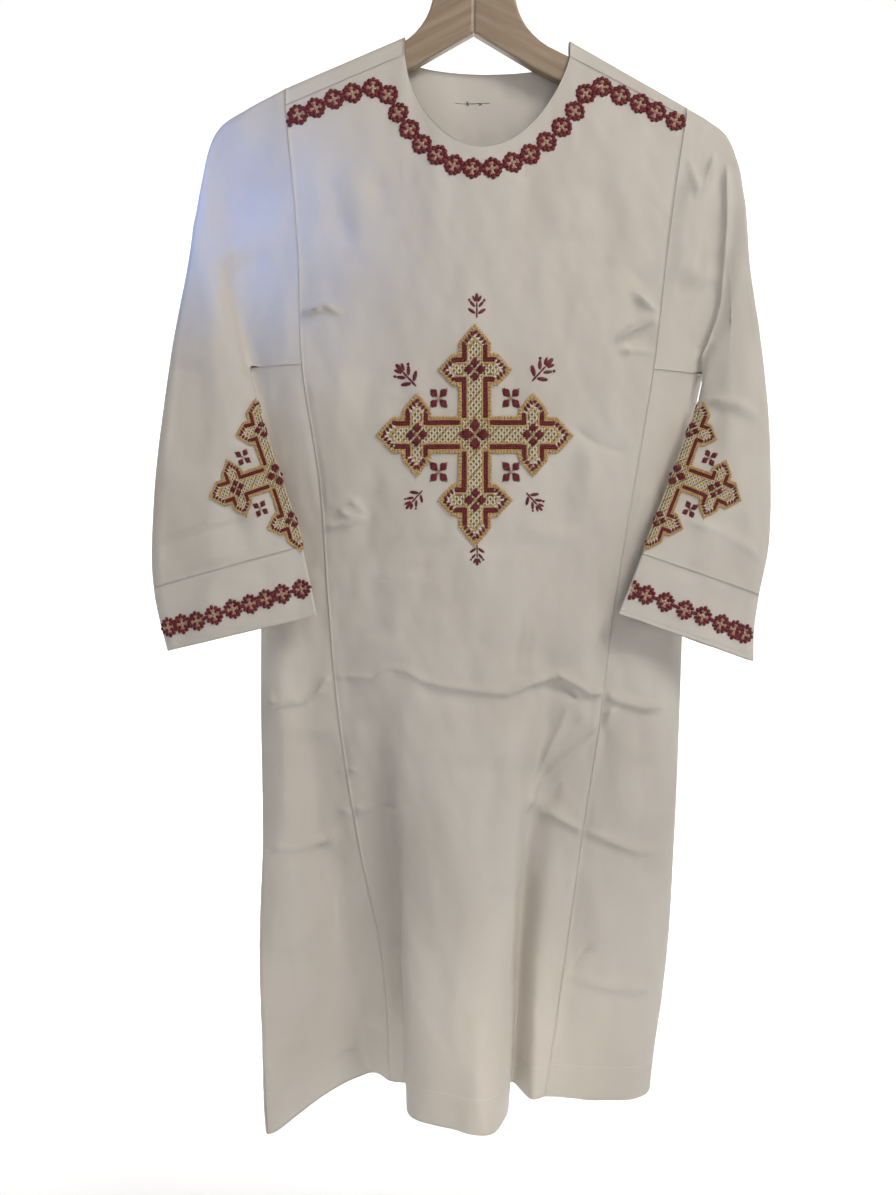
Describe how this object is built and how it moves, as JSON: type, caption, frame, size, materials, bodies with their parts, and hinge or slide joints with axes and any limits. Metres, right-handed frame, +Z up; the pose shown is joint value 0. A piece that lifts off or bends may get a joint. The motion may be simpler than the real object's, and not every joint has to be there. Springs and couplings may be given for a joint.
{
  "type": "coptic deacon tunic on a wooden coat hanger",
  "caption": "Long white deacon's tunic with wide sleeves and embroidered crosses, hung on a wooden coat hanger by its hook.",
  "frame": {"origin": "the inside top of the hanger's hook, where it sits on its rail", "axes": "+Z up, +X to the right of someone who looks at the front, the front faces -Y"},
  "size_m": [0.6018, 0.1801, 1.174],
  "materials": {
    "cloth": "plain woven white polycotton with a soft satin sheen",
    "embroidery": "dense stitched rayon thread in gold, cream and burgundy",
    "wood": "pale lacquered beech",
    "steel": "bright plated wire"
  },
  "bodies": {
    "root": {"front_panel": "cloth", "back_panel": "cloth", "gore_front_left": "cloth", "gore_front_right": "cloth", "gore_back_left": "cloth", "gore_back_right": "cloth", "sleeve_left": "cloth", "sleeve_right": "cloth", "cuff_left": "cloth", "cuff_right": "cloth", "shoulder_strip_left": "cloth", "shoulder_strip_right": "cloth", "cross_chest": "embroidery", "cross_sleeve_left": "embroidery", "cross_sleeve_right": "embroidery", "hanger_left": "wood", "hanger_right": "wood", "hook": "steel"}
  },
  "joints": []
}
